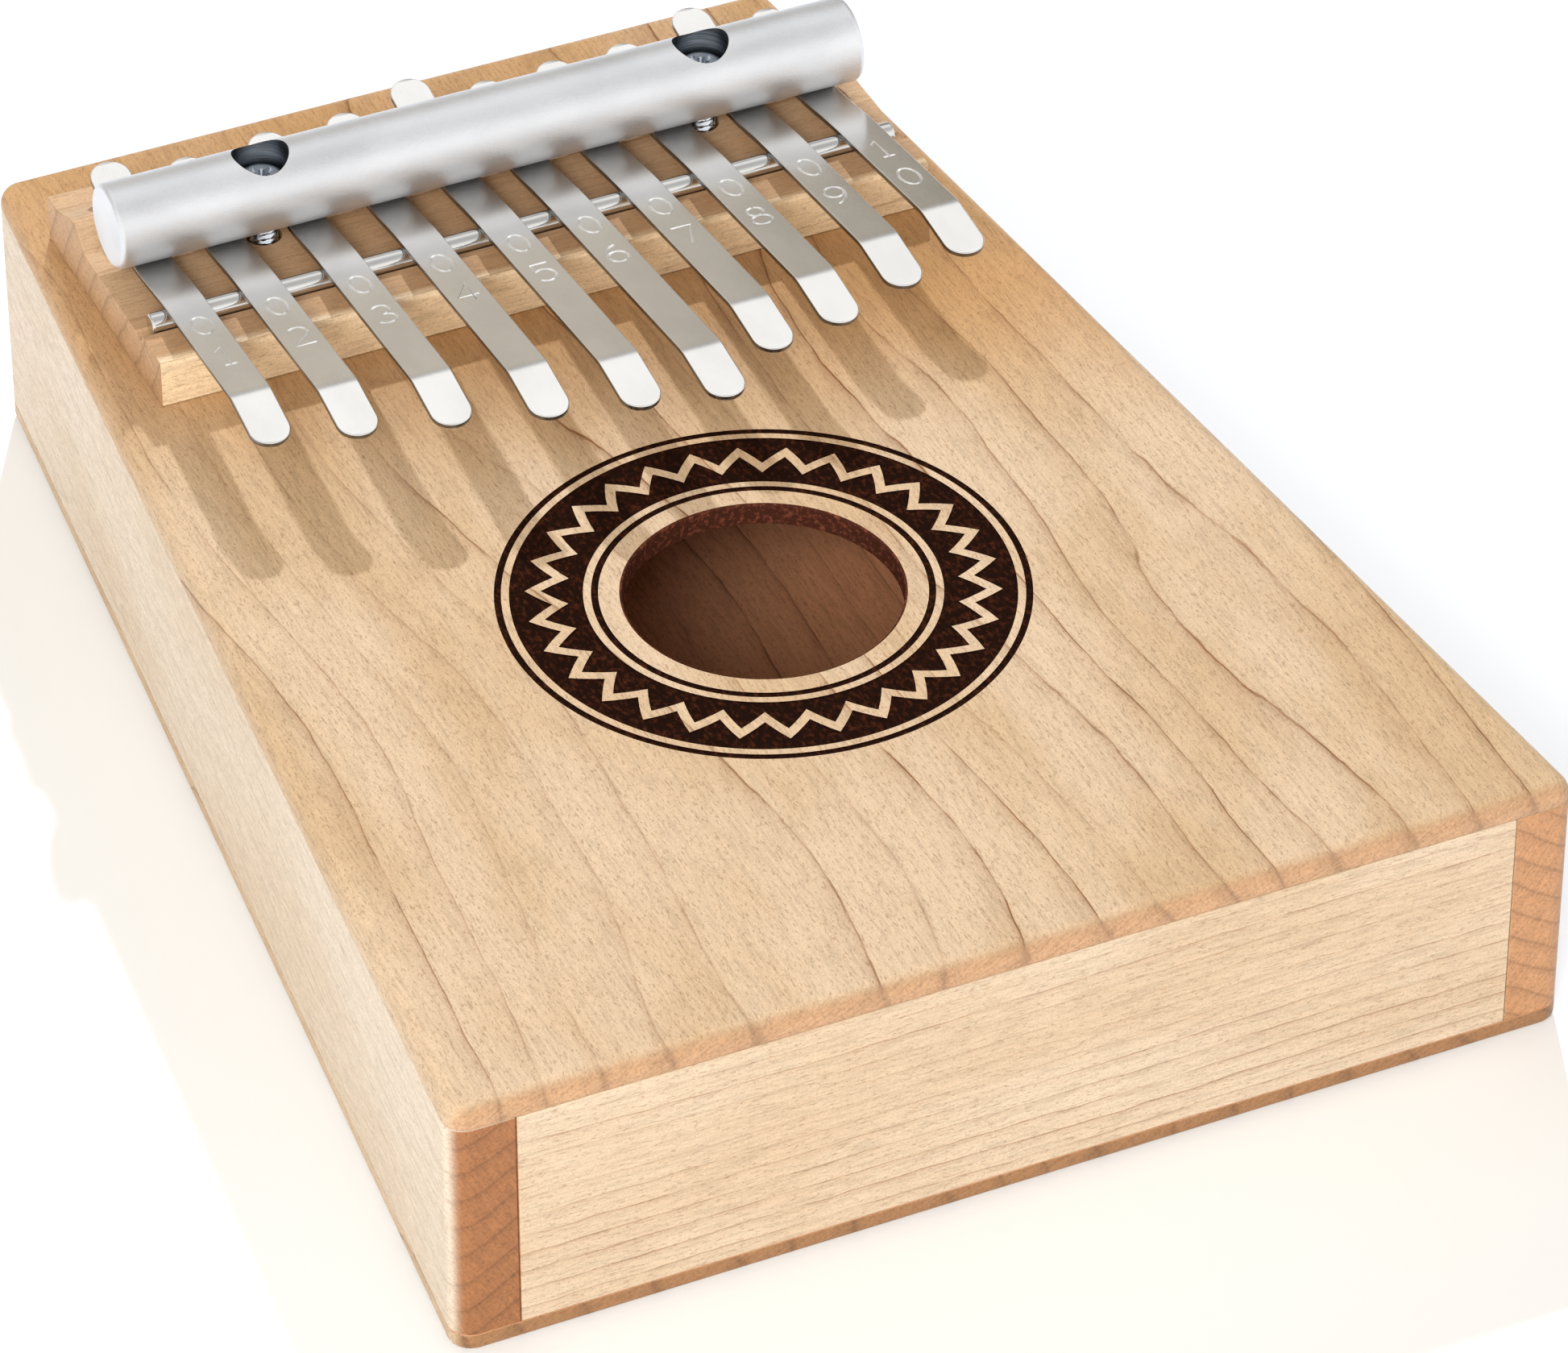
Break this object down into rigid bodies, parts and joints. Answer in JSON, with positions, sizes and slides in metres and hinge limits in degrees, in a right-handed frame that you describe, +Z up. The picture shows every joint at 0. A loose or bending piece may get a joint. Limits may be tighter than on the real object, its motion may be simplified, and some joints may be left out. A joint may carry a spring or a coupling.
{
  "type": "mbira",
  "caption": "Tapered hollow wooden box with a sound hole, a wooden bridge and a round clamp bar that holds flat steel tines of graded length, plucked by the thumbs.",
  "frame": {"origin": "centre of the underside of the box", "axes": "+X to the player's right, +Y from the player's end to the bridge end, +Z up out of the sound hole"},
  "size_m": [0.1494, 0.201, 0.0572],
  "materials": {
    "maple": "satin oiled maple, thin brown growth lines along the box and small dark flecks",
    "end_panel_maple": "pale sanded maple with its grain across the box",
    "bridge_maple": "sanded maple with its grain across the box and end grain at both ends",
    "satin_aluminium": "bead-blasted satin with turned counterbores",
    "polished_rod_steel": "polished round rod",
    "tine_spring_steel": "satin spring steel with polished edges",
    "screw_steel": "dark plated pan head with a cross recess"
  },
  "bodies": {
    "body": {"top_plate": "maple", "bottom_plate": "maple", "left_side_board": "maple", "right_side_board": "maple", "near_end_panel": "end_panel_maple", "far_end_panel": "end_panel_maple", "inner_screw_block": "maple", "bridge_block": "bridge_maple", "clamp_bar": "satin_aluminium", "bridge_rod": "polished_rod_steel", "clamp_screw_left": "screw_steel", "clamp_screw_right": "screw_steel", "tine_01_tail": "tine_spring_steel", "tine_02_tail": "tine_spring_steel", "tine_03_tail": "tine_spring_steel", "tine_04_tail": "tine_spring_steel", "tine_05_tail": "tine_spring_steel", "tine_06_tail": "tine_spring_steel", "tine_07_tail": "tine_spring_steel", "tine_08_tail": "tine_spring_steel", "tine_09_tail": "tine_spring_steel", "tine_10_tail": "tine_spring_steel"},
    "tine_01": {"tine_01_tongue": "tine_spring_steel"},
    "tine_02": {"tine_02_tongue": "tine_spring_steel"},
    "tine_03": {"tine_03_tongue": "tine_spring_steel"},
    "tine_04": {"tine_04_tongue": "tine_spring_steel"},
    "tine_05": {"tine_05_tongue": "tine_spring_steel"},
    "tine_06": {"tine_06_tongue": "tine_spring_steel"},
    "tine_07": {"tine_07_tongue": "tine_spring_steel"},
    "tine_08": {"tine_08_tongue": "tine_spring_steel"},
    "tine_09": {"tine_09_tongue": "tine_spring_steel"},
    "tine_10": {"tine_10_tongue": "tine_spring_steel"}
  },
  "joints": [
    {"name": "tine_01_flex", "type": "hinge", "parent": "body", "child": "tine_01", "pos_m": [-0.04811, 0.0515, 0.04715], "axis": [0.9996, -0.0286, 0], "range_deg": [-1.5, 3], "stiffness_Nm_per_rad": 4.05},
    {"name": "tine_02_flex", "type": "hinge", "parent": "body", "child": "tine_02", "pos_m": [-0.03777, 0.0515, 0.04715], "axis": [0.9998, -0.019, 0], "range_deg": [-1.5, 3], "stiffness_Nm_per_rad": 3.68},
    {"name": "tine_03_flex", "type": "hinge", "parent": "body", "child": "tine_03", "pos_m": [-0.02618, 0.0515, 0.04715], "axis": [0.9998, -0.0197, 0], "range_deg": [-1.5, 3], "stiffness_Nm_per_rad": 3.38},
    {"name": "tine_04_flex", "type": "hinge", "parent": "body", "child": "tine_04", "pos_m": [-0.01477, 0.0515, 0.04715], "axis": [0.9999, -0.0117, 0], "range_deg": [-1.5, 3], "stiffness_Nm_per_rad": 3.08},
    {"name": "tine_05_flex", "type": "hinge", "parent": "body", "child": "tine_05", "pos_m": [-0.004, 0.0515, 0.04715], "axis": [1, 0, 0], "range_deg": [-1.5, 3], "stiffness_Nm_per_rad": 2.87},
    {"name": "tine_06_flex", "type": "hinge", "parent": "body", "child": "tine_06", "pos_m": [0.00603, 0.0515, 0.04715], "axis": [1, 0.0091, 0], "range_deg": [-1.5, 3], "stiffness_Nm_per_rad": 2.72},
    {"name": "tine_07_flex", "type": "hinge", "parent": "body", "child": "tine_07", "pos_m": [0.0162, 0.0515, 0.04715], "axis": [0.9999, 0.0137, 0], "range_deg": [-1.5, 3], "stiffness_Nm_per_rad": 3.2},
    {"name": "tine_08_flex", "type": "hinge", "parent": "body", "child": "tine_08", "pos_m": [0.0264, 0.0515, 0.04715], "axis": [0.9999, 0.0142, 0], "range_deg": [-1.5, 3], "stiffness_Nm_per_rad": 3.35},
    {"name": "tine_09_flex", "type": "hinge", "parent": "body", "child": "tine_09", "pos_m": [0.03762, 0.0515, 0.04715], "axis": [0.9999, 0.0155, 0], "range_deg": [-1.5, 3], "stiffness_Nm_per_rad": 3.76},
    {"name": "tine_10_flex", "type": "hinge", "parent": "body", "child": "tine_10", "pos_m": [0.04798, 0.0515, 0.04715], "axis": [0.9996, 0.0271, 0], "range_deg": [-1.5, 3], "stiffness_Nm_per_rad": 4.18}
  ]
}
